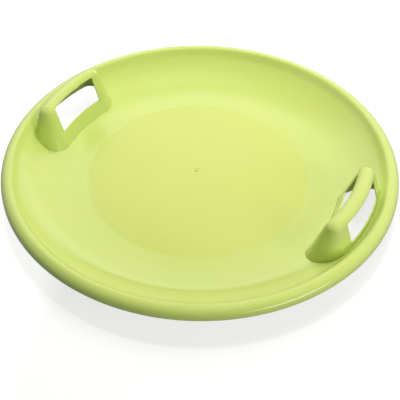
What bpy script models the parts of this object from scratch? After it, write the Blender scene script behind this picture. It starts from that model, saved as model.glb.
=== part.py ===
"""Round plastic saucer sled with two hooded grab handles.

The pan is one moulded dish: a slightly domed floor, a flat ring that it rests on, a wall that rises
in an arc, and a rim rolled over and down. Each handle is a moulding of its own: a hollow hood with
a grip bar, pushed up through a bean-shaped slot in the pan. A flange round the hood's foot lies
against the pan's underside, is welded there, and takes the rider's pull.

Metres, +Z up. The origin is on the sled's axis, at the level of the snow.
"""

import math

import bmesh
import bpy
from mathutils import Matrix, Vector

# Pan, from the outside in
PAN_RADIUS = 0.300
PAN_WALL = 0.0022
LIP_WIDTH = 0.0130
LIP_DROP = 0.0127
LIP_SKIRT = 0.0008
CREST_ROUND = 0.0065
WALL_RUN = 0.0062
WALL_SLOPE = math.radians(60.0)
WALL_ROUND = 0.030
DISH_SLOPE = math.radians(43.8)
DISH_ROUND = 0.120
REST_RING_WIDTH = 0.017
FLOOR_CROWN = 0.0069

# Mark of the moulding gate: a small nub in a shallow recess
GATE_NUB_RADIUS = 0.0016
GATE_NUB_HEIGHT = 0.0004
GATE_RECESS_RADIUS = 0.0043
GATE_RECESS_DEPTH = 0.0006
GATE_SLOPE_WIDTH = 0.0004

# Hood and grip bar of a handle
GRIP_INSET = 0.0504
GRIP_WIDTH = 0.0221
GRIP_LEVEL = 0.0722
GRIP_CROWN = 0.0075
GRIP_HALF_LENGTH = 0.0702
INNER_DRAFT = math.radians(16.0)
OUTER_DRAFT = math.radians(20.8)
END_DRAFT = math.radians(16.6)
END_FULLNESS = 2.3
SHOULDER_STRETCH = 1.6
HOOD_WALL = 0.0018
BAR_DEPTH = 0.0068
WINDOW_HALF_WIDTH = 0.0493
INNER_SILL_LEVEL = 0.0302
OUTER_SILL_LEVEL = 0.0422

# Joint between a handle and the pan
SLOT_CLEARANCE = 0.0003
FLANGE_GAP = 0.0003
FLANGE_THICKNESS = 0.0016
FLANGE_WIDTH = 0.0060

# Fineness of the round shapes
PAN_STEPS = 80
FLOOR_SEGMENTS = 3
DISH_SEGMENTS = 8
WALL_SEGMENTS = 2
CREST_SEGMENTS = 3
LIP_SEGMENTS = 5
SIDE_SEGMENTS = 8
END_SEGMENTS = 12
CROWN_SEGMENTS = 5
SMOOTH_ANGLE = math.radians(32.0)
FOOT_SEARCH_STEPS = 40
CUTTER_MARGIN = 0.020
MERGE_DISTANCE = 0.000001

LIME = (0.62, 0.78, 0.14, 1.0)
PLASTIC_ROUGHNESS = 0.28


def clear_scene():
    for obj in list(bpy.data.objects):
        bpy.data.objects.remove(obj, do_unlink=True)


def new_collection(name):
    collection = bpy.data.collections.new(name)
    bpy.context.scene.collection.children.link(collection)
    return collection


def plastic(name):
    material = bpy.data.materials.new(name)
    material.use_nodes = True
    shader = material.node_tree.nodes["Principled BSDF"]
    shader.inputs["Base Color"].default_value = LIME
    shader.inputs["Roughness"].default_value = PLASTIC_ROUGHNESS
    return material


def add_object(name, mesh, collection):
    obj = bpy.data.objects.new(name, mesh)
    collection.objects.link(obj)
    return obj


def hide_guide(obj):
    obj.hide_render = True
    obj.display_type = "WIRE"


def arc(centre, radius, start, end, segments):
    """Points along an arc in the profile plane, angles measured from +r towards +z."""
    angles = [start + (end - start) * i / segments for i in range(segments + 1)]
    return [(centre[0] + radius * math.cos(a), centre[1] + radius * math.sin(a)) for a in angles]


def dish_radii():
    """Radii of the rim's crest, of the foot of the dish and of the floor, from the rim inwards."""
    crest = PAN_RADIUS - LIP_WIDTH
    run_top = crest - CREST_ROUND * math.sin(WALL_SLOPE)
    run_foot = run_top - WALL_RUN * math.cos(WALL_SLOPE)
    dish_end = run_foot - WALL_ROUND * (math.sin(WALL_SLOPE) - math.sin(DISH_SLOPE))
    dish_start = dish_end - DISH_ROUND * math.sin(DISH_SLOPE)
    return crest, dish_start, dish_start - REST_RING_WIDTH


def curved_wall_points():
    """The inside of the pan from the rest ring to the crest of the rim, as one tangent line."""
    crest, dish_start, _ = dish_radii()
    down = -math.pi / 2
    points = arc((dish_start, PAN_WALL + DISH_ROUND), DISH_ROUND, down, down + DISH_SLOPE,
                 DISH_SEGMENTS)
    end_r, end_z = points[-1]
    centre = (end_r - WALL_ROUND * math.sin(DISH_SLOPE), end_z + WALL_ROUND * math.cos(DISH_SLOPE))
    points += arc(centre, WALL_ROUND, down + DISH_SLOPE, down + WALL_SLOPE, WALL_SEGMENTS)[1:]
    run_top = points[-1][1] + WALL_RUN * math.sin(WALL_SLOPE)
    centre = (crest, run_top - CREST_ROUND * math.cos(WALL_SLOPE))
    up = math.pi / 2
    points += arc(centre, CREST_ROUND, up + WALL_SLOPE, up, CREST_SEGMENTS)
    return points


def floor_points():
    """The domed floor from the gate mark at its middle to the rest ring."""
    floor = dish_radii()[2]
    sphere = (floor ** 2 + FLOOR_CROWN ** 2) / (2 * FLOOR_CROWN)

    def dome(radius):
        return PAN_WALL + FLOOR_CROWN - sphere + math.sqrt(sphere ** 2 - radius ** 2)

    nub_top = dome(0) + GATE_NUB_HEIGHT
    recess = dome(0) - GATE_RECESS_DEPTH
    edge = GATE_RECESS_RADIUS + GATE_SLOPE_WIDTH
    mark = [(0.0, nub_top), (GATE_NUB_RADIUS, nub_top),
            (GATE_NUB_RADIUS + GATE_SLOPE_WIDTH, recess), (GATE_RECESS_RADIUS, recess)]
    radii = [edge + (floor - edge) * i / FLOOR_SEGMENTS for i in range(FLOOR_SEGMENTS + 1)]
    return mark, [(radius, dome(radius)) for radius in radii]


def lip_points(crest):
    """The rim's outer roll, from the crest down to the end of its short skirt."""
    points = []
    for i in range(1, LIP_SEGMENTS + 1):
        turn = math.pi / 2 * i / LIP_SEGMENTS
        points.append((crest[0] + LIP_WIDTH * math.sin(turn),
                       crest[1] - LIP_DROP * (1 - math.cos(turn))))
    points.append((PAN_RADIUS, points[-1][1] - LIP_SKIRT))
    return points


def offset_profile(points, distance):
    """The same profile moved square to itself, to the side that lies below the dish."""
    moved = []
    for i, point in enumerate(points):
        here = Vector(point)
        sides = []
        if i > 0:
            sides.append(here - Vector(points[i - 1]))
        if i < len(points) - 1:
            sides.append(Vector(points[i + 1]) - here)
        normals = [Vector((side[1], -side[0])).normalized() for side in sides]
        middle = sum(normals, Vector((0.0, 0.0))).normalized()
        moved.append(tuple(here + middle * distance / middle.dot(normals[0])))
    return moved


def turned(name, profile, collection):
    """A closed profile at +r, its outer side running down, turned about Z."""
    mesh = bpy.data.meshes.new(name)
    vertices = [(radius, 0.0, height) for radius, height in profile]
    edges = [(i, (i + 1) % len(profile)) for i in range(len(profile))]
    if profile[0][0] == 0.0:
        edges.pop()
    mesh.from_pydata(vertices, edges, [])
    obj = add_object(name, mesh, collection)
    screw = obj.modifiers.new("turn", "SCREW")
    screw.axis = "Z"
    screw.steps = PAN_STEPS
    screw.render_steps = PAN_STEPS
    screw.use_merge_vertices = True
    screw.merge_threshold = MERGE_DISTANCE
    screw.use_smooth_shade = True
    return obj


def baked(obj):
    """A new mesh that holds the object's modified shape."""
    graph = bpy.context.evaluated_depsgraph_get()
    graph.update()
    return bpy.data.meshes.new_from_object(obj.evaluated_get(graph))


def combine(obj, other, operation):
    modifier = obj.modifiers.new(operation.lower() + "_" + other.name, "BOOLEAN")
    modifier.operation = operation
    modifier.solver = "EXACT"
    modifier.object = other


def smooth(mesh):
    mesh.shade_smooth()
    mesh.set_sharp_from_angle(angle=SMOOTH_ANGLE)


def hood_section(height):
    """Inner radius, outer radius and half length of the drafted hood at a height."""
    middle = PAN_RADIUS - GRIP_INSET
    below = GRIP_LEVEL - height
    inner = middle - GRIP_WIDTH / 2 - below * math.tan(INNER_DRAFT)
    outer = middle + GRIP_WIDTH / 2 + below * math.tan(OUTER_DRAFT)
    tip = GRIP_HALF_LENGTH + below * math.tan(END_DRAFT)
    return inner, outer, tip


def bean(inner, outer, tip):
    """Outline of an annular bar with full round ends, counter-clockwise, on the +X side."""
    middle = (inner + outer) / 2
    half_width = (outer - inner) / 2
    turn = math.asin((tip - half_width) / middle)

    def bend(radius, start, end):
        angles = [start + (end - start) * i / SIDE_SEGMENTS for i in range(SIDE_SEGMENTS + 1)]
        return [Vector((radius * math.cos(angle), radius * math.sin(angle))) for angle in angles]

    def full(value):
        return math.copysign(abs(value) ** (2 / END_FULLNESS), value)

    def round_end(side):
        outward = Vector((math.cos(turn), side * math.sin(turn)))
        along = Vector((-side * outward[1], side * outward[0]))
        angles = [math.pi * i / END_SEGMENTS for i in range(1, END_SEGMENTS)]
        steps = [(full(math.cos(a)), full(math.sin(a))) for a in angles]
        return [middle * outward + half_width * (across * outward + ahead * along)
                for across, ahead in steps[::side]]

    return (bend(outer, -turn, turn) + round_end(1)
            + bend(inner, turn, -turn) + round_end(-1))


def crown_inset(draft, crown_height, share):
    """How far a drafted wall has drawn in where its tangent arc has risen by a share of the crown."""
    radius = crown_height / (1 - math.sin(draft))
    turn = math.asin(math.sin(draft) + (1 - math.sin(draft)) * share)
    return radius * (math.cos(draft) - math.cos(turn))


def hood_rings(growth, foot_level):
    """Outlines of the hood from below its foot to its crown, grown on every side."""
    crown_height = GRIP_CROWN + growth
    rings = []
    for i in range(-1, CROWN_SEGMENTS + 1):
        share = math.sin(math.pi / 2 * max(i, 0) / CROWN_SEGMENTS)
        height = foot_level if i < 0 else GRIP_LEVEL + crown_height * share
        inner, outer, tip = hood_section(min(height, GRIP_LEVEL))
        inner += crown_inset(INNER_DRAFT, crown_height, share) - growth
        outer -= crown_inset(OUTER_DRAFT, crown_height, share) - growth
        tip -= SHOULDER_STRETCH * crown_inset(END_DRAFT, crown_height, share) - growth
        rings.append([Vector((point[0], point[1], height)) for point in bean(inner, outer, tip)])
    return rings


def loft(name, rings, collection):
    """A closed solid through outlines of equal length, lowest first."""
    shape = bmesh.new()
    rows = [[shape.verts.new(point) for point in ring] for ring in rings]
    for low, high in zip(rows, rows[1:]):
        for i in range(len(low)):
            j = (i + 1) % len(low)
            shape.faces.new((low[i], low[j], high[j], high[i]))
    shape.faces.new(rows[0][::-1])
    shape.faces.new(rows[-1])
    mesh = bpy.data.meshes.new(name)
    shape.to_mesh(mesh)
    shape.free()
    return add_object(name, mesh, collection)


def height_of_inside(radius, profile):
    """Height of the pan's inside surface at a radius, on the straight lines of its profile."""
    for (r0, z0), (r1, z1) in zip(profile, profile[1:]):
        if r0 <= radius <= r1:
            return z0 + (z1 - z0) * (radius - r0) / (r1 - r0)
    return profile[0][1] if radius < profile[0][0] else profile[-1][1]


def foot_outline(profile):
    """Plan of the line where the hood's outside meets the inside of the pan."""
    outline = []
    for k in range(len(bean(*hood_section(0.0)))):
        low, high = 0.0, GRIP_LEVEL
        for _ in range(FOOT_SEARCH_STEPS):
            middle = (low + high) / 2
            point = bean(*hood_section(middle))[k]
            if middle < height_of_inside(point.length, profile):
                low = middle
            else:
                high = middle
        outline.append(bean(*hood_section(low))[k])
    return outline


def widened(outline, distance):
    """A counter-clockwise outline moved outwards by a distance."""
    moved = []
    for i, point in enumerate(outline):
        along = (outline[(i + 1) % len(outline)] - outline[i - 1]).normalized()
        moved.append(point + distance * Vector((along[1], -along[0])))
    return moved


def prism(name, outline, low, high, collection):
    """A flat outline filled and extruded between two levels."""
    curve = bpy.data.curves.new(name, "CURVE")
    curve.dimensions = "2D"
    curve.fill_mode = "BOTH"
    curve.extrude = (high - low) / 2
    spline = curve.splines.new("POLY")
    spline.points.add(len(outline) - 1)
    for control, point in zip(spline.points, outline):
        control.co = (point[0], point[1], 0.0, 1.0)
    spline.use_cyclic_u = True
    drawn = add_object(name + "_outline", curve, collection)
    drawn.location.z = (high + low) / 2
    bpy.context.view_layer.update()
    mesh = baked(drawn)
    mesh.transform(drawn.matrix_world)
    shape = bmesh.new()
    shape.from_mesh(mesh)
    bmesh.ops.remove_doubles(shape, verts=shape.verts, dist=MERGE_DISTANCE)
    bmesh.ops.recalc_face_normals(shape, faces=shape.faces)
    shape.to_mesh(mesh)
    shape.free()
    bpy.data.objects.remove(drawn, do_unlink=True)
    return add_object(name, mesh, collection)


def window(name, near, far, sill, collection):
    """A block cutter for one window of a hood, between two radii, from its sill to the bar."""
    shape = bmesh.new()
    top = GRIP_LEVEL + GRIP_CROWN - BAR_DEPTH
    size = Matrix.Diagonal((far - near, 2 * WINDOW_HALF_WIDTH, top - sill, 1.0))
    centre = Matrix.Translation(((far + near) / 2, 0.0, (top + sill) / 2))
    bmesh.ops.create_cube(shape, size=1.0, matrix=centre @ size)
    mesh = bpy.data.meshes.new(name)
    shape.to_mesh(mesh)
    shape.free()
    return add_object(name, mesh, collection)


def build_pan(profile, cutters, parts, material):
    mark, floor = floor_points()
    face = floor + profile + lip_points(profile[-1])
    under = offset_profile(face, PAN_WALL)
    pan = turned("pan_turned", mark + face + under[:0:-1] + [(0.0, under[0][1])], cutters)
    for name, turn in (("slot_right", 0.0), ("slot_left", math.pi)):
        slot = loft(name, hood_rings(SLOT_CLEARANCE, -CUTTER_MARGIN), cutters)
        slot.rotation_euler.z = turn
        combine(pan, slot, "DIFFERENCE")
    mesh = baked(pan)
    smooth(mesh)
    mesh.materials.append(material)
    return add_object("pan", mesh, parts)


def handle_mesh(profile, cutters):
    """The shape of one handle, standing on the +X side of the pan."""
    crest, dish_start, floor = dish_radii()
    ground = [(floor, profile[0][1])] + profile + [(PAN_RADIUS, profile[-1][1])]
    flange_top = offset_profile(ground, PAN_WALL + FLANGE_GAP)
    flange_foot = offset_profile(ground, PAN_WALL + FLANGE_GAP + FLANGE_THICKNESS)
    deep = -CUTTER_MARGIN
    deeper = 2 * deep
    plug = [(flange_top[0][0], deep), (flange_top[-1][0], deep)]
    earth = [(flange_foot[0][0], deeper), (flange_foot[-1][0], deeper)]

    hood = loft("hood", hood_rings(0.0, deep), cutters)
    hollow = loft("hood_hollow", hood_rings(-HOOD_WALL, deeper), cutters)
    flange = turned("flange", flange_top + plug[::-1], cutters)
    below = turned("below_flange", flange_foot + earth[::-1], cutters)
    outline = widened(foot_outline(profile), FLANGE_WIDTH)
    edge = prism("flange_edge", outline, deeper, GRIP_LEVEL, cutters)
    middle = PAN_RADIUS - GRIP_INSET
    inner_window = window("window_inner", dish_start, middle, INNER_SILL_LEVEL, cutters)
    outer_window = window("window_outer", middle, crest, OUTER_SILL_LEVEL, cutters)

    combine(flange, edge, "INTERSECT")
    combine(hood, flange, "UNION")
    for cutter in (hollow, below, inner_window, outer_window):
        combine(hood, cutter, "DIFFERENCE")
    mesh = baked(hood)
    smooth(mesh)
    return mesh


def build_sled():
    clear_scene()
    parts = new_collection("saucer_sled")
    cutters = new_collection("cutters")
    profile = curved_wall_points()
    build_pan(profile, cutters, parts, plastic("pan_polyethylene"))
    mesh = handle_mesh(profile, cutters)
    mesh.materials.append(plastic("handle_polyethylene"))
    for name, turn in (("handle_right", 0.0), ("handle_left", math.pi)):
        handle = add_object(name, mesh, parts)
        handle.rotation_euler.z = turn
    for cutter in cutters.objects:
        hide_guide(cutter)


build_sled()
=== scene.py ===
"""Round plastic saucer sled with two hooded grab handles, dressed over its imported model.

Metres, +Z up, origin on the sled's axis at the level of the snow.
"""

import math

import bmesh
import bpy
from mathutils import Matrix, Vector


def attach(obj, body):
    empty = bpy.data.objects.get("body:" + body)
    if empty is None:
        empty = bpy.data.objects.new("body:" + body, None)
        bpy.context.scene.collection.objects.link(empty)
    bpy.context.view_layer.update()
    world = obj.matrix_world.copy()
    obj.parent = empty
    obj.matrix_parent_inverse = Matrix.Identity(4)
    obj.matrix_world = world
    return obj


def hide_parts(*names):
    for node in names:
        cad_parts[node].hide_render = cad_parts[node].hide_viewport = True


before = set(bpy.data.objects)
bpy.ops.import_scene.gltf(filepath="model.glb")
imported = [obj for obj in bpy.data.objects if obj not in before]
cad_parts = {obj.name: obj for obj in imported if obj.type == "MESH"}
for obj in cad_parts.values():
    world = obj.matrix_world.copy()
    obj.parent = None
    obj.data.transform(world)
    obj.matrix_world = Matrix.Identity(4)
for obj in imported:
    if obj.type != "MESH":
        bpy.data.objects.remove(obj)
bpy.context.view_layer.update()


# Pan: the round dish that the rider sits in, injection moulded in one shot of polyethylene from a
# gate at the middle of its floor. It rests on the flat ring round the domed floor, and its rim is
# rolled over and down to stiffen it and to keep its cut edge away from hands.

PAN_RADIUS = 0.29998
PAN_WALL = 0.0022
LIP_WIDTH = 0.0130
LIP_DROP = 0.0127
LIP_SKIRT = 0.0008
LIP_STEPS = 24
SKIRT_STEPS = 8
CREST_ROUND = 0.0065
CREST_STEPS = 16
WALL_RUN = 0.0062
WALL_SLOPE = math.radians(60.0)
WALL_ROUND = 0.030
WALL_STEPS = 8
DISH_SLOPE = math.radians(43.8)
DISH_ROUND = 0.120
DISH_STEPS = 40
REST_RING_WIDTH = 0.017
FLOOR_CROWN = 0.0069
FLOOR_STEPS = 40
GATE_NUB_RADIUS = 0.0024
GATE_NUB_HEIGHT = 0.0010
GATE_NUB_EDGE = 0.0008
GATE_RECESS_RADIUS = 0.0048
GATE_RECESS_DEPTH = 0.0007
GATE_RECESS_EDGE = 0.0010
GATE_STEP = 0.0002
GATE_STEPS = 30
TURN_STEPS = 240
MERGE_DISTANCE = 0.000001

crest_radius = PAN_RADIUS - LIP_WIDTH
run_top_radius = crest_radius - CREST_ROUND * math.sin(WALL_SLOPE)
run_foot_radius = run_top_radius - WALL_RUN * math.cos(WALL_SLOPE)
dish_end = run_foot_radius - WALL_ROUND * (math.sin(WALL_SLOPE) - math.sin(DISH_SLOPE))
dish_start = dish_end - DISH_ROUND * math.sin(DISH_SLOPE)
floor_radius = dish_start - REST_RING_WIDTH
floor_sphere = (floor_radius ** 2 + FLOOR_CROWN ** 2) / (2 * FLOOR_CROWN)


def arc(centre, radius, start, end, segments):
    """Points of an arc in the profile plane, angles measured from +r towards +z."""
    angles = [start + (end - start) * i / segments for i in range(segments + 1)]
    return [(centre[0] + radius * math.cos(a), centre[1] + radius * math.sin(a)) for a in angles]


def eased(share):
    """A share held between 0 and 1, with its two ends rounded off."""
    share = min(max(share, 0.0), 1.0)
    return share * share * (3 - 2 * share)


def floor_height(radius):
    """The domed floor, a shallow cap of a sphere."""
    return PAN_WALL + FLOOR_CROWN - floor_sphere + math.sqrt(floor_sphere ** 2 - radius ** 2)


def gate_height(radius):
    """The gate's mark on the floor: a nub that stands in a shallow round recess."""
    recess = eased((GATE_RECESS_RADIUS - radius) / GATE_RECESS_EDGE + 0.5)
    nub = eased((GATE_NUB_RADIUS - radius) / GATE_NUB_EDGE + 0.5)
    return (GATE_NUB_HEIGHT + GATE_RECESS_DEPTH) * nub - GATE_RECESS_DEPTH * recess


def offset_profile(points, distance):
    """The same profile moved square to itself, to the side that lies below the dish."""
    moved = []
    for i, point in enumerate(points):
        before = Vector(points[max(i - 1, 0)])
        after = Vector(points[min(i + 1, len(points) - 1)])
        along = (after - before).normalized()
        moved.append((point[0] + along[1] * distance, point[1] - along[0] * distance))
    return moved


# The profile runs outward from the gate over the floor, the dish, the crest and the lip, round the
# end of the skirt, and back below at one wall's distance.
gate_radii = [GATE_STEP * i for i in range(GATE_STEPS)]
gate_end = GATE_STEP * GATE_STEPS
floor_radii = [gate_end + (floor_radius - gate_end) * i / FLOOR_STEPS
               for i in range(FLOOR_STEPS + 1)]
marked_floor = [(radius, floor_height(radius) + gate_height(radius)) for radius in gate_radii]
marked_floor += [(radius, floor_height(radius)) for radius in floor_radii]
plain_floor = [(0.0, floor_height(0.0))]
plain_floor += [(radius, floor_height(radius)) for radius in floor_radii]
down = -math.pi / 2
dish = arc((dish_start, PAN_WALL + DISH_ROUND), DISH_ROUND, down, down + DISH_SLOPE, DISH_STEPS)
wall_centre = (dish[-1][0] - WALL_ROUND * math.sin(DISH_SLOPE),
               dish[-1][1] + WALL_ROUND * math.cos(DISH_SLOPE))
dish += arc(wall_centre, WALL_ROUND, down + DISH_SLOPE, down + WALL_SLOPE, WALL_STEPS)[1:]
crest_centre = (crest_radius,
                dish[-1][1] + WALL_RUN * math.sin(WALL_SLOPE) - CREST_ROUND * math.cos(WALL_SLOPE))
dish += arc(crest_centre, CREST_ROUND, math.pi / 2 + WALL_SLOPE, math.pi / 2, CREST_STEPS)
lip = []
for step in range(1, LIP_STEPS + 1):
    turn = math.pi / 2 * step / LIP_STEPS
    lip.append((crest_radius + LIP_WIDTH * math.sin(turn),
                dish[-1][1] - LIP_DROP * (1 - math.cos(turn))))
lip.append((PAN_RADIUS, lip[-1][1] - LIP_SKIRT))
upper_face = plain_floor + dish + lip
under_face = offset_profile(upper_face, PAN_WALL)
skirt_middle = (Vector(upper_face[-1]) + Vector(under_face[-1])) / 2
skirt_end = []
for step in range(1, SKIRT_STEPS):
    turn = math.pi * step / SKIRT_STEPS
    skirt_end.append((skirt_middle[0] + PAN_WALL / 2 * math.cos(turn),
                      skirt_middle[1] - PAN_WALL / 2 * math.sin(turn)))
pan_profile = marked_floor + dish + lip + skirt_end + under_face[:0:-1]
pan_profile.append((0.0, under_face[0][1]))

profile_mesh = bpy.data.meshes.new("pan_profile")
profile_mesh.from_pydata([(radius, 0.0, height) for radius, height in pan_profile],
                         [(i, i + 1) for i in range(len(pan_profile) - 1)], [])
turned_pan = bpy.data.objects.new("turned_pan", profile_mesh)
bpy.context.scene.collection.objects.link(turned_pan)
turning = turned_pan.modifiers.new("turn", "SCREW")
turning.axis = "Z"
turning.steps = TURN_STEPS
turning.render_steps = TURN_STEPS
turning.use_merge_vertices = True
turning.merge_threshold = MERGE_DISTANCE
turning.use_smooth_shade = True

# Polyethylene, lime all through and left as the mould made it. Polished steel gives it a waxy gloss
# with wide soft lights in it, and the textured steel under the floor disc leaves that disc matt, so
# that it looks flatter. Flow from the gate leaves faint streaks along the radius, and uneven
# shrinking leaves slight waves, which bend what the gloss mirrors.
# The glossy colours are paler and bluer than the matt ones. This is a painted sheen: the white that
# the gloss mirrors is painted into the colour, and so the matt disc looks yellower.
GLOSSY_COLOURS_WITH_PAINTED_SHEEN = ("#CBE07A", "#D0E07D")
MATT_COLOURS = ("#CBDB73", "#CEDB76")
GLOSSY_ROUGHNESS = (0.08, 0.14)
MATT_ROUGHNESS = (0.26, 0.34)
MATT_EDGE = 0.003
POLYETHYLENE_IOR = 1.51
CLOUD_MM = 111.0
# A streak is this long on the radius; its width grows with the distance from the gate.
STREAK_MM = 23.8
STREAKS_PER_RADIAN = 14.0
STREAK_CONTRAST = 0.015
WAVE_MM = 55.6
WAVE_DEPTH = 0.00004
# The real grain, about a tenth of a millimetre wide, is too fine to show and is drawn ten times
# as coarse.
GRAIN_MM = 1.111
GRAIN_DEPTH = 0.000004


def add_node(tree, kind, inputs=None, **settings):
    """Adds a node with its settings; an input is a value or another node's output socket."""
    node = tree.nodes.new(kind)
    for name, value in settings.items():
        setattr(node, name, value)
    for socket, value in (inputs or {}).items():
        if isinstance(value, bpy.types.NodeSocket):
            tree.links.new(value, node.inputs[socket])
        else:
            node.inputs[socket].default_value = value
    return node


def linear(code):
    """A colour given as an sRGB hex string, in linear values."""
    values = [int(code[i:i + 2], 16) / 255 for i in (1, 3, 5)]
    return [v / 12.92 if v <= 0.04045 else ((v + 0.055) / 1.055) ** 2.4 for v in values] + [1.0]


def moulded_polyethylene(name, matt_radius):
    """Glossy lime polyethylene with a sheen painted into its colour, and a matt disc of the given
    radius round the origin, which has no such sheen.
    """
    material = bpy.data.materials.new(name)
    material.use_nodes = True
    tree = material.node_tree
    tree.nodes.clear()
    place = add_node(tree, "ShaderNodeTexCoord").outputs["Object"]
    level = add_node(tree, "ShaderNodeVectorMath", {0: place, 1: (1.0, 1.0, 0.0)},
                     operation="MULTIPLY")
    radius = add_node(tree, "ShaderNodeVectorMath", {0: level.outputs["Vector"]},
                      operation="LENGTH")
    polish_and_painted_sheen = add_node(tree, "ShaderNodeMapRange", {
        "Value": radius.outputs["Value"], "From Min": matt_radius - MATT_EDGE,
        "From Max": matt_radius + MATT_EDGE})

    cloud = add_node(tree, "ShaderNodeTexNoise", {"Vector": place, "Scale": 1000 / CLOUD_MM,
                     "Detail": 3.0})
    # Painted sheen: outside the matt disc the colour takes the paler, bluer glossy tint.
    matt_tint, painted_sheen_tint = [
        add_node(tree, "ShaderNodeMix", {"Factor": cloud.outputs["Fac"], "A": linear(colours[0]),
                 "B": linear(colours[1])}, data_type="RGBA")
        for colours in (MATT_COLOURS, GLOSSY_COLOURS_WITH_PAINTED_SHEEN)]
    tint = add_node(tree, "ShaderNodeMix", {"Factor": polish_and_painted_sheen.outputs["Result"],
                    "A": matt_tint.outputs["Result"], "B": painted_sheen_tint.outputs["Result"]},
                    data_type="RGBA")
    ahead = add_node(tree, "ShaderNodeVectorMath", {0: level.outputs["Vector"]},
                     operation="NORMALIZE")
    along = 1000 / STREAK_MM / STREAKS_PER_RADIAN
    drift = add_node(tree, "ShaderNodeVectorMath", {0: place, 1: (along, along, along),
                     2: ahead.outputs["Vector"]}, operation="MULTIPLY_ADD")
    streak = add_node(tree, "ShaderNodeTexNoise", {"Vector": drift.outputs["Vector"],
                      "Scale": STREAKS_PER_RADIAN, "Detail": 3.0})
    shade = add_node(tree, "ShaderNodeMapRange", {"Value": streak.outputs["Fac"],
                     "To Min": 1 - STREAK_CONTRAST, "To Max": 1 + STREAK_CONTRAST})
    tint = add_node(tree, "ShaderNodeVectorMath", {0: tint.outputs["Result"],
                    "Scale": shade.outputs["Result"]}, operation="SCALE")

    wave = add_node(tree, "ShaderNodeTexNoise", {"Vector": place, "Scale": 1000 / WAVE_MM,
                    "Detail": 1.0})
    matt_finish, glossy_finish = [
        add_node(tree, "ShaderNodeMapRange", {"Value": wave.outputs["Fac"], "To Min": low,
                 "To Max": high})
        for low, high in (MATT_ROUGHNESS, GLOSSY_ROUGHNESS)]
    finish = add_node(tree, "ShaderNodeMix", {"Factor": polish_and_painted_sheen.outputs["Result"],
                      "A": matt_finish.outputs["Result"], "B": glossy_finish.outputs["Result"]})
    grain = add_node(tree, "ShaderNodeTexNoise", {"Vector": place, "Scale": 1000 / GRAIN_MM,
                     "Detail": 2.0})
    wavy = add_node(tree, "ShaderNodeBump", {"Height": wave.outputs["Fac"], "Strength": 1.0,
                    "Distance": WAVE_DEPTH})
    grained = add_node(tree, "ShaderNodeBump", {"Height": grain.outputs["Fac"], "Strength": 1.0,
                       "Distance": GRAIN_DEPTH, "Normal": wavy.outputs["Normal"]})
    shader = add_node(tree, "ShaderNodeBsdfPrincipled", {
        "Base Color": tint.outputs["Vector"], "Roughness": finish.outputs["Result"],
        "IOR": POLYETHYLENE_IOR, "Normal": grained.outputs["Normal"]})
    add_node(tree, "ShaderNodeOutputMaterial", {"Surface": shader.outputs["BSDF"]})
    return material


# Handles: two hooded grab handles, one polyethylene moulding used twice: a hollow drafted hood with
# a grip bar left between two windows. Each is pushed up from below through its slot, and the flange
# round its foot is welded to the pan's underside, so the rider's pull presses it to the pan.

GRIP_INSET = 0.0504
GRIP_WIDTH = 0.0221
GRIP_LEVEL = 0.0722
GRIP_CROWN = 0.0075
GRIP_HALF_LENGTH = 0.0702
INNER_DRAFT = math.radians(16.0)
OUTER_DRAFT = math.radians(20.8)
END_DRAFT = math.radians(16.6)
END_FULLNESS = 2.3
SHOULDER_STRETCH = 1.6
HOOD_WALL = 0.0018
BAR_DEPTH = 0.0068
WINDOW_HALF_WIDTH = 0.0493
WINDOW_CORNER = 0.0016
INNER_SILL_LEVEL = 0.0302
OUTER_SILL_LEVEL = 0.0422
FLANGE_GAP = 0.0003
FLANGE_THICKNESS = 0.0016
FLANGE_WIDTH = 0.0060
EDGE_ROUND = 0.0005
EDGE_SEGMENTS = 3
EDGE_ANGLE = math.radians(50)
WINDOW_SEGMENTS = 30
CORNER_SEGMENTS = 5
END_SEGMENTS = 28
FOOT_ROWS = 8
WINDOW_ROWS = 10
CROWN_ROWS = 14
SILL_ROW = FOOT_ROWS
TOP_ROW = FOOT_ROWS + WINDOW_ROWS + 2
LOWEST_FOOT = -0.01
HALVINGS = 40

grip_radius = PAN_RADIUS - GRIP_INSET
window_top = GRIP_LEVEL + GRIP_CROWN - BAR_DEPTH
flange_top = offset_profile(upper_face, PAN_WALL + FLANGE_GAP)
flange_foot = offset_profile(upper_face, PAN_WALL + FLANGE_GAP + FLANGE_THICKNESS)

# Stations go once round the hood's outline. On the two long sides a float is a y across a window,
# and a whole number lies beyond it: 2 where the side ends, 1 half way there. On the near and far
# ends the number counts steps.
corner_line = WINDOW_HALF_WIDTH - WINDOW_CORNER
side_lines = [-WINDOW_HALF_WIDTH, -WINDOW_HALF_WIDTH + WINDOW_CORNER]
side_lines += [corner_line * (2 * i / WINDOW_SEGMENTS - 1) for i in range(1, WINDOW_SEGMENTS)]
side_lines += [corner_line, WINDOW_HALF_WIDTH]
stations = [("outer", -2), ("outer", -1)]
stations += [("outer", y) for y in side_lines]
stations += [("outer", 1), ("outer", 2)]
stations += [("far", i) for i in range(1, END_SEGMENTS)]
stations += [("inner", 2), ("inner", 1)]
stations += [("inner", y) for y in reversed(side_lines)]
stations += [("inner", -1), ("inner", -2)]
stations += [("near", i) for i in range(1, END_SEGMENTS)]


def crown_inset(draft, crown_height, share):
    """How far a drafted wall has drawn in where its arc has risen by a share of the crown."""
    radius = crown_height / (1 - math.sin(draft))
    turn = math.asin(min(math.sin(draft) + (1 - math.sin(draft)) * share, 1.0))
    return radius * (math.cos(draft) - math.cos(turn))


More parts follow.
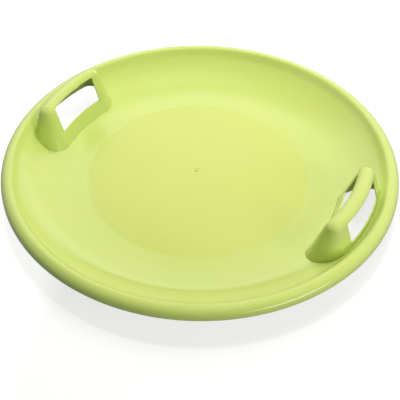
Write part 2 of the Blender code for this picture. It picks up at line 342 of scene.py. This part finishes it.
def hood_section(height, growth):
    """Inner radius, outer radius and half length of the hood at a height, grown on every side."""
    below = max(GRIP_LEVEL - height, 0.0)
    crown_height = GRIP_CROWN + growth
    share = min(max((height - GRIP_LEVEL) / crown_height, 0.0), 1.0)
    inner = grip_radius - GRIP_WIDTH / 2 - below * math.tan(INNER_DRAFT)
    outer = grip_radius + GRIP_WIDTH / 2 + below * math.tan(OUTER_DRAFT)
    tip = GRIP_HALF_LENGTH + below * math.tan(END_DRAFT)
    return (inner + crown_inset(INNER_DRAFT, crown_height, share) - growth,
            outer - crown_inset(OUTER_DRAFT, crown_height, share) + growth,
            tip - SHOULDER_STRETCH * crown_inset(END_DRAFT, crown_height, share) + growth)


def hood_point(station, height, growth):
    """A point of the hood's outside: a station of its bean-shaped outline at a height."""
    kind, value = station
    inner, outer, tip = hood_section(height, growth)
    middle = (inner + outer) / 2
    half_width = (outer - inner) / 2
    turn = math.asin((tip - half_width) / middle)
    if kind in ("outer", "inner"):
        radius = outer if kind == "outer" else inner
        y = value
        if isinstance(value, int):
            full = radius * math.sin(turn)
            y = full if abs(value) == 2 else (full + WINDOW_HALF_WIDTH) / 2
            y = math.copysign(y, value)
        return Vector((math.sqrt(radius ** 2 - y ** 2), y, height))
    side = 1 if kind == "far" else -1
    angle = math.pi * value / END_SEGMENTS
    if kind == "near":
        angle = math.pi - angle
    across = math.copysign(abs(math.cos(angle)) ** (2 / END_FULLNESS), math.cos(angle))
    ahead = math.sin(angle) ** (2 / END_FULLNESS)
    outward = Vector((math.cos(turn), side * math.sin(turn), 0.0))
    along = Vector((-math.sin(turn), side * math.cos(turn), 0.0))
    point = middle * outward + half_width * (across * outward + ahead * along)
    return Vector((point[0], point[1], height))


def surface_height(profile, radius):
    """Height of a turned surface at a radius, on its profile."""
    for (r0, z0), (r1, z1) in zip(profile, profile[1:]):
        if r0 <= radius < r1:
            return z0 + (z1 - z0) * (radius - r0) / (r1 - r0)
    return profile[-1][1]


def meeting(station, growth, profile):
    """Where a station's line on the hood meets a turned surface, found by halving."""
    low, high = LOWEST_FOOT, GRIP_LEVEL
    for _ in range(HALVINGS):
        middle = (low + high) / 2
        point = hood_point(station, middle, growth)
        if middle < surface_height(profile, point.xy.length):
            low = middle
        else:
            high = middle
    return hood_point(station, low, growth)


def sill_level(station):
    """Height of the window sill at a station, blended round the hood's ends."""
    kind, value = station
    share = {"outer": 1.0, "inner": 0.0}.get(kind)
    if share is None:
        share = eased(value / END_SEGMENTS if kind == "near" else 1 - value / END_SEGMENTS)
    return INNER_SILL_LEVEL + (OUTER_SILL_LEVEL - INNER_SILL_LEVEL) * share


def hood_levels(station, foot, growth):
    """Heights of a station's points from the foot of the hood to its crown."""
    sill = sill_level(station)
    levels = [foot + (sill - foot) * i / FOOT_ROWS for i in range(FOOT_ROWS)]
    low, high = sill + WINDOW_CORNER, window_top - WINDOW_CORNER
    levels += [sill] + [low + (high - low) * i / WINDOW_ROWS for i in range(WINDOW_ROWS + 1)]
    start_turn = math.asin((window_top - GRIP_LEVEL) / (GRIP_CROWN + growth))
    for i in range(CROWN_ROWS + 1):
        turn = start_turn + (math.pi / 2 - start_turn) * i / CROWN_ROWS
        levels.append(GRIP_LEVEL + (GRIP_CROWN + growth) * math.sin(turn))
    return levels


def in_window(i):
    """Whether the strip from station i to the next lies in one of the two windows."""
    kind, value = stations[i]
    next_kind, next_value = stations[(i + 1) % len(stations)]
    return kind == next_kind and isinstance(value, float) and isinstance(next_value, float)


def corner_fan(shape, kind, knee, start, end, growth, backward):
    """Fills a window's square corner to a round one; returns the points of the round."""
    centre_y, centre_z = end.co.y, start.co.z
    points = [start]
    for i in range(1, CORNER_SEGMENTS):
        turn = math.pi / 2 * i / CORNER_SEGMENTS
        y = centre_y + (start.co.y - centre_y) * math.cos(turn)
        z = centre_z + (end.co.z - centre_z) * math.sin(turn)
        points.append(shape.verts.new(hood_point((kind, y), z, growth)))
    points.append(end)
    for a, b in zip(points, points[1:]):
        triangle = [knee, a, b]
        shape.faces.new(triangle[::-1] if backward else triangle)
    return points


def hood_skin(shape, growth, profile, inward):
    """One side of the hood's wall; returns its foot and the outlines of its two open windows."""
    rows = []
    for station in stations:
        foot = meeting(station, growth, profile)
        rows.append([shape.verts.new(hood_point(station, height, growth))
                     for height in hood_levels(station, foot.z, growth)])
    count = len(stations)
    for i in range(count):
        j = (i + 1) % count
        for k in range(len(rows[i]) - 1):
            if in_window(i) and SILL_ROW <= k < TOP_ROW:
                continue
            quad = [rows[i][k], rows[j][k], rows[j][k + 1], rows[i][k + 1]]
            shape.faces.new(quad[::-1] if inward else quad)
    cap = [row[-1] for row in rows]
    shape.faces.new(cap[::-1] if inward else cap)
    holes = []
    for kind in ("outer", "inner"):
        lines = [i for i in range(count)
                 if stations[i][0] == kind and isinstance(stations[i][1], float)]
        first, last = lines[0], lines[-1]
        rounds = []
        for line, row, aside, climb in ((first, SILL_ROW, 1, 1), (last, SILL_ROW, -1, 1),
                                        (last, TOP_ROW, -1, -1), (first, TOP_ROW, 1, -1)):
            rounds.append(corner_fan(shape, kind, rows[line][row], rows[line][row + climb],
                                     rows[line + aside][row], growth, inward != (aside != climb)))
        # The rounds take up the two points at each end of every side.
        bottom = [rows[i][SILL_ROW] for i in lines[2:-2]]
        right = [rows[last][k] for k in range(SILL_ROW + 2, TOP_ROW - 1)]
        top = [rows[i][TOP_ROW] for i in reversed(lines[2:-2])]
        left = [rows[first][k] for k in reversed(range(SILL_ROW + 2, TOP_ROW - 1))]
        holes.append(rounds[0] + bottom + rounds[1][::-1] + right
                     + rounds[2] + top + rounds[3][::-1] + left)
    return [row[0] for row in rows], holes


def band(shape, low, high):
    """Quads between two closed rings of points."""
    for i in range(len(low)):
        j = (i + 1) % len(low)
        shape.faces.new((low[i], low[j], high[j], high[i]))


handle_shape = bmesh.new()
outer_foot, outer_holes = hood_skin(handle_shape, 0.0, flange_top, False)
inner_foot, inner_holes = hood_skin(handle_shape, -HOOD_WALL, flange_foot, True)
for outer_hole, inner_hole in zip(outer_holes, inner_holes):
    band(handle_shape, inner_hole, outer_hole)
seat_line = [meeting(station, 0.0, upper_face).xy for station in stations]
flange_edge_top, flange_edge_foot = [], []
for i, point in enumerate(seat_line):
    along = (seat_line[(i + 1) % len(seat_line)] - seat_line[i - 1]).normalized()
    spot = point + FLANGE_WIDTH * Vector((along[1], -along[0]))
    for ring, profile in ((flange_edge_top, flange_top), (flange_edge_foot, flange_foot)):
        ring.append(handle_shape.verts.new((spot[0], spot[1],
                                            surface_height(profile, spot.length))))
band(handle_shape, flange_edge_top, outer_foot)
band(handle_shape, flange_edge_foot, flange_edge_top)
band(handle_shape, inner_foot, flange_edge_foot)
bmesh.ops.recalc_face_normals(handle_shape, faces=handle_shape.faces)
handle_mesh = bpy.data.meshes.new("handle")
handle_shape.to_mesh(handle_mesh)
handle_shape.free()
handle_mesh.shade_smooth()
handle_mesh.materials.append(moulded_polyethylene("handle_polyethylene", 0.0))

for side, turn in (("right", 0.0), ("left", math.pi)):
    handle = bpy.data.objects.new("hood_handle_" + side, handle_mesh)
    bpy.context.scene.collection.objects.link(handle)
    handle.rotation_euler.z = turn
    edges = handle.modifiers.new("moulded_edges", "BEVEL")
    edges.width = EDGE_ROUND
    edges.segments = EDGE_SEGMENTS
    edges.limit_method = "ANGLE"
    edges.angle_limit = EDGE_ANGLE
    edges.harden_normals = True
    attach(handle, "root")
    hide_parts("handle_" + side)


# Slots: the two bean-shaped openings that are moulded into the pan, each with a small gap round the
# hood that comes up through it. They take their outline from the hoods, so the pan is cut and
# finished here, in the same polyethylene.

SLOT_CLEARANCE = 0.0003
SLOT_FOOT = -0.02
SLOT_ROWS = 6
SHARP_ANGLE = math.radians(40)

slot_levels = [SLOT_FOOT] + [GRIP_LEVEL * i / SLOT_ROWS for i in range(SLOT_ROWS + 1)]
slot_shape = bmesh.new()
slot_rows = []
for station in stations:
    slot_rows.append([slot_shape.verts.new(hood_point(station, height, SLOT_CLEARANCE))
                      for height in slot_levels])
for i, row in enumerate(slot_rows):
    next_row = slot_rows[(i + 1) % len(slot_rows)]
    for k in range(len(row) - 1):
        slot_shape.faces.new((row[k], next_row[k], next_row[k + 1], row[k + 1]))
slot_shape.faces.new([row[0] for row in slot_rows][::-1])
slot_shape.faces.new([row[-1] for row in slot_rows])
slot_mesh = bpy.data.meshes.new("slot")
slot_shape.to_mesh(slot_mesh)
slot_shape.free()
slots = []
for turn in (0.0, math.pi):
    slot = bpy.data.objects.new("slot", slot_mesh)
    bpy.context.scene.collection.objects.link(slot)
    slot.rotation_euler.z = turn
    cut = turned_pan.modifiers.new("slot", "BOOLEAN")
    cut.operation = "DIFFERENCE"
    cut.solver = "MANIFOLD"
    cut.object = slot
    slots.append(slot)
graph = bpy.context.evaluated_depsgraph_get()
graph.update()
pan_mesh = bpy.data.meshes.new_from_object(turned_pan.evaluated_get(graph))
for obj in slots + [turned_pan]:
    bpy.data.objects.remove(obj, do_unlink=True)
pan_mesh.shade_smooth()
pan_mesh.set_sharp_from_angle(angle=SHARP_ANGLE)
pan_mesh.materials.clear()
pan_mesh.materials.append(moulded_polyethylene("pan_polyethylene", floor_radius))
pan = bpy.data.objects.new("saucer_pan", pan_mesh)
bpy.context.scene.collection.objects.link(pan)
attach(pan, "root")
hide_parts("pan")


# Floor: the studio's white paper, a broad loose sheet that the sled only stands on. It lies a tenth
# of a millimetre below the sled's ring, so that the two faces do not share a plane.

PAPER_HALF_SIZE = 8
PAPER_LEVEL = -0.0001
# Matt uncoated paper mirrors nothing and takes the sled's shadow. It glows, so that it looks white,
# and its own grey is low, so that little light goes back up under the sled's rim.
PAPER_SEEN = (0.3, 0.3, 0.3, 1.0)
PAPER_UNSEEN = (0.12, 0.12, 0.12, 1.0)
# The sled's gloss sees half of the glow at most, and less where the sled stands over the paper:
# a painted shade, drawn by ambient occlusion within this reach.
PAPER_IN_GLOSS = (0.5, 0.5, 0.5, 1.0)
PAPER_PAINTED_SHADE_REACH = 0.25
# The glow by the distance from a middle on the side where the shadow falls: dim there, so that the
# shadow shows, and brighter further out, a painted light that washes the paper's shade out on the
# other sides.
GLOW_MIDDLE = (0.55, -0.20, 0.0)
DIM_RADIUS, DIM_GLOW = 0.595, 0.74
EDGE_RADIUS, EDGE_GLOW = 0.64, 0.87
WHITE_RADIUS, WHITE_GLOW = 1.6, 1.0

paper_mesh = bpy.data.meshes.new("floor")
paper_mesh.from_pydata([(x * PAPER_HALF_SIZE, y * PAPER_HALF_SIZE, PAPER_LEVEL)
                        for x, y in ((-1, -1), (1, -1), (1, 1), (-1, 1))], [], [(0, 1, 2, 3)])
floor = bpy.data.objects.new("floor", paper_mesh)
bpy.context.scene.collection.objects.link(floor)
paper = bpy.data.materials.new("white_paper")
paper.use_nodes = True
tree = paper.node_tree
tree.nodes.clear()
ray = add_node(tree, "ShaderNodeLightPath")
# Painted shade: ambient occlusion darkens the paper as the gloss sees it, near the sled.
in_gloss = add_node(tree, "ShaderNodeAmbientOcclusion", {"Color": PAPER_IN_GLOSS,
                    "Distance": PAPER_PAINTED_SHADE_REACH})
direct = add_node(tree, "ShaderNodeMath", {0: ray.outputs["Is Camera Ray"],
                  1: ray.outputs["Is Transmission Ray"]}, operation="MAXIMUM")
seen = add_node(tree, "ShaderNodeMath", {0: ray.outputs["Is Glossy Ray"],
                1: in_gloss.outputs["Color"], 2: direct.outputs[0]}, operation="MULTIPLY_ADD")
tone = add_node(tree, "ShaderNodeMix", {"Factor": seen.outputs[0], "A": PAPER_UNSEEN,
                "B": PAPER_SEEN}, data_type="RGBA")
matt = add_node(tree, "ShaderNodeBsdfDiffuse", {"Color": tone.outputs["Result"]})
place = add_node(tree, "ShaderNodeTexCoord").outputs["Object"]
away = add_node(tree, "ShaderNodeVectorMath", {0: place, 1: GLOW_MIDDLE},
                operation="DISTANCE").outputs["Value"]
# Painted light: more glow away from the shadow's side hides the paper's shade there.
near_glow = add_node(tree, "ShaderNodeMapRange", {
    "Value": away, "From Min": DIM_RADIUS, "From Max": EDGE_RADIUS, "To Min": DIM_GLOW,
    "To Max": EDGE_GLOW})
far_glow = add_node(tree, "ShaderNodeMapRange", {
    "Value": away, "From Min": EDGE_RADIUS, "From Max": WHITE_RADIUS, "To Min": 0.0,
    "To Max": WHITE_GLOW - EDGE_GLOW})
glow_level = add_node(tree, "ShaderNodeMath", {0: near_glow.outputs["Result"],
                      1: far_glow.outputs["Result"]}, operation="ADD")
glow_level = add_node(tree, "ShaderNodeMath", {0: glow_level.outputs[0], 1: seen.outputs[0]},
                      operation="MULTIPLY")
glow = add_node(tree, "ShaderNodeEmission", {"Strength": glow_level.outputs[0]})
both = add_node(tree, "ShaderNodeAddShader", {0: matt.outputs[0], 1: glow.outputs[0]})
add_node(tree, "ShaderNodeOutputMaterial", {"Surface": both.outputs[0]})
paper_mesh.materials.append(paper)


# Studio: the lamps round the sled, the pale panels that its gloss mirrors, and the camera. Angles
# are azimuth and elevation in degrees, and none of the lamps shows in the gloss.

BOX_DISTANCE = 1.3
BOX_SIZE = 0.7
WARM = (1.0, 0.94, 0.92)
COOL = (0.82, 1.0, 0.62)
GAP_OVAL = (118.5, 0, 8.5, 11.8, 0.06)
GAP_LEVEL = 0.2
LENS = 58.796
SENSOR_WIDTH = 36.0
SHIFT_X = 0.1
CLIP_START = 0.01
CAMERA_TURN, CAMERA_PITCH, CAMERA_ROLL = 0.594000, 0.797506, -0.0438854
CAMERA_PLACE = (-0.059665, -0.750709, 0.714806)


def direction(azimuth, elevation):
    """Unit vector towards a place round the sled, from its angles in degrees."""
    turn, rise = math.radians(azimuth), math.radians(elevation)
    return Vector((math.cos(turn) * math.cos(rise), math.sin(turn) * math.cos(rise),
                   math.sin(rise)))


# Round soft boxes, by azimuth, elevation, level and tone; level 1 lights paper at the middle white.
for azimuth, elevation, level, tone in (
        (74.5, 70, 0.565, WARM), (119.5, 45, 0.23, WARM), (164.5, 45, 0.11, WARM),
        (-15.5, 45, 0.06, WARM), (-15.5, 20, 0.31, WARM), (209.5, 15, 0.04, COOL)):
    box = bpy.data.objects.new("soft_box", bpy.data.lights.new("soft_box", "AREA"))
    bpy.context.scene.collection.objects.link(box)
    box.data.shape = "DISK"
    box.data.size = BOX_SIZE
    box.data.color = tone
    box.data.energy = level * (math.pi * BOX_DISTANCE) ** 2
    box.location = direction(azimuth, elevation) * BOX_DISTANCE
    box.rotation_euler = direction(azimuth, elevation).to_track_quat("Z", "Y").to_euler()
    box.visible_camera = False
    box.visible_glossy = False

# A small far key draws the shadow's edge; a broad far fill comes from the camera's side. Each has
# its azimuth, elevation, spread in degrees, level and tone.
for name, azimuth, elevation, spread, level, tone in (
        ("key", 119.5, 69, 3, 0.70, WARM), ("fill", -56, 20, 50, 0.62, COOL)):
    lamp = bpy.data.objects.new(name, bpy.data.lights.new(name, "SUN"))
    bpy.context.scene.collection.objects.link(lamp)
    lamp.data.energy = level
    lamp.data.color = tone
    lamp.data.angle = math.radians(spread)
    lamp.rotation_euler = direction(azimuth, elevation).to_track_quat("Z", "Y").to_euler()
    lamp.visible_glossy = False

world = bpy.data.worlds.new("studio")
bpy.context.scene.world = world
world.use_nodes = True
tree = world.node_tree
tree.nodes.clear()
towards = add_node(tree, "ShaderNodeTexCoord").outputs["Generated"]


def oval(azimuth, elevation, half_width, half_height, edge):
    """Mask of an oval panel of the studio: 1 for directions inside it, 0 for those outside."""
    ahead = direction(azimuth, elevation)
    aside = direction(azimuth + 90, 0)
    above = ahead.cross(aside)
    front, across, up = [
        add_node(tree, "ShaderNodeVectorMath", {0: towards, 1: axis}, operation="DOT_PRODUCT")
        for axis in (ahead, aside / math.sin(math.radians(half_width)),
                     above / math.sin(math.radians(half_height)))]
    in_front = add_node(tree, "ShaderNodeMath", {0: front.outputs["Value"], 1: 0.0},
                        operation="GREATER_THAN")
    square = add_node(tree, "ShaderNodeMath", {0: across.outputs["Value"],
                      1: across.outputs["Value"]}, operation="MULTIPLY")
    square = add_node(tree, "ShaderNodeMath", {0: up.outputs["Value"], 1: up.outputs["Value"],
                      2: square.outputs[0]}, operation="MULTIPLY_ADD")
    mask = add_node(tree, "ShaderNodeMapRange", {
        "Value": square.outputs[0], "From Min": (1 + edge) ** 2, "From Max": (1 - edge) ** 2},
        interpolation_type="SMOOTHSTEP")
    return add_node(tree, "ShaderNodeMath", {0: mask.outputs["Result"], 1: in_front.outputs[0]},
                    operation="MULTIPLY").outputs[0]


# The panels: azimuth, elevation, half width, half height, softness of the edge, and level.
mirrored = 0.0
for azimuth, elevation, half_width, half_height, edge, level in (
        (114, 38, 48, 20, 0.5, 1.16), (112, 7, 50, 14, 0.5, 1.0), (150, 40, 24, 18, 0.4, 0.4),
        (209.5, 15, 28, 20, 0.4, 0.64), (-15, 14, 20, 7, 0.3, 5.6), (29.5, 12, 25, 20, 0.4, 0.4),
        (-82, 12, 50, 20, 0.4, 0.12), (118, 88, 14, 14, 0.5, 0.6)):
    mirrored = add_node(tree, "ShaderNodeMath", {
        0: oval(azimuth, elevation, half_width, half_height, edge), 1: level, 2: mirrored},
        operation="MULTIPLY_ADD").outputs[0]
# A darker gap between the panels behind the sled draws the yellower band along the near dish. It
# is an oval too, low behind the sled, with a crisp edge.
gap = add_node(tree, "ShaderNodeMapRange", {"Value": oval(*GAP_OVAL), "To Min": 1.0,
               "To Max": GAP_LEVEL})
ray = add_node(tree, "ShaderNodeLightPath")
in_gloss = add_node(tree, "ShaderNodeMath", {0: ray.outputs["Is Glossy Ray"],
                    1: gap.outputs["Result"]}, operation="MULTIPLY")
mirrored = add_node(tree, "ShaderNodeMath", {0: in_gloss.outputs[0], 1: mirrored},
                    operation="MULTIPLY")
# What the camera sees behind the sled, straight or through it, is plain white.
direct = add_node(tree, "ShaderNodeMath", {0: ray.outputs["Is Camera Ray"],
                  1: ray.outputs["Is Transmission Ray"]}, operation="MAXIMUM")
strength = add_node(tree, "ShaderNodeMath", {0: mirrored.outputs[0], 1: direct.outputs[0]},
                    operation="MAXIMUM")
sky = add_node(tree, "ShaderNodeBackground", {"Color": (1.0, 1.0, 1.0, 1.0),
               "Strength": strength.outputs[0]})
add_node(tree, "ShaderNodeOutputWorld", {"Surface": sky.outputs[0]})

camera = bpy.data.objects.new("camera", bpy.data.cameras.new("camera"))
bpy.context.scene.collection.objects.link(camera)
bpy.context.scene.camera = camera
camera.data.sensor_width = SENSOR_WIDTH
camera.data.lens = LENS
camera.data.shift_x = SHIFT_X
camera.data.clip_start = CLIP_START
camera.matrix_world = (Matrix.Rotation(CAMERA_TURN, 4, "Z") @ Matrix.Translation(CAMERA_PLACE)
                       @ Matrix.Rotation(math.pi / 2 - CAMERA_PITCH, 4, "X")
                       @ Matrix.Rotation(CAMERA_ROLL, 4, "Z"))
bpy.context.scene.view_settings.view_transform = "Standard"
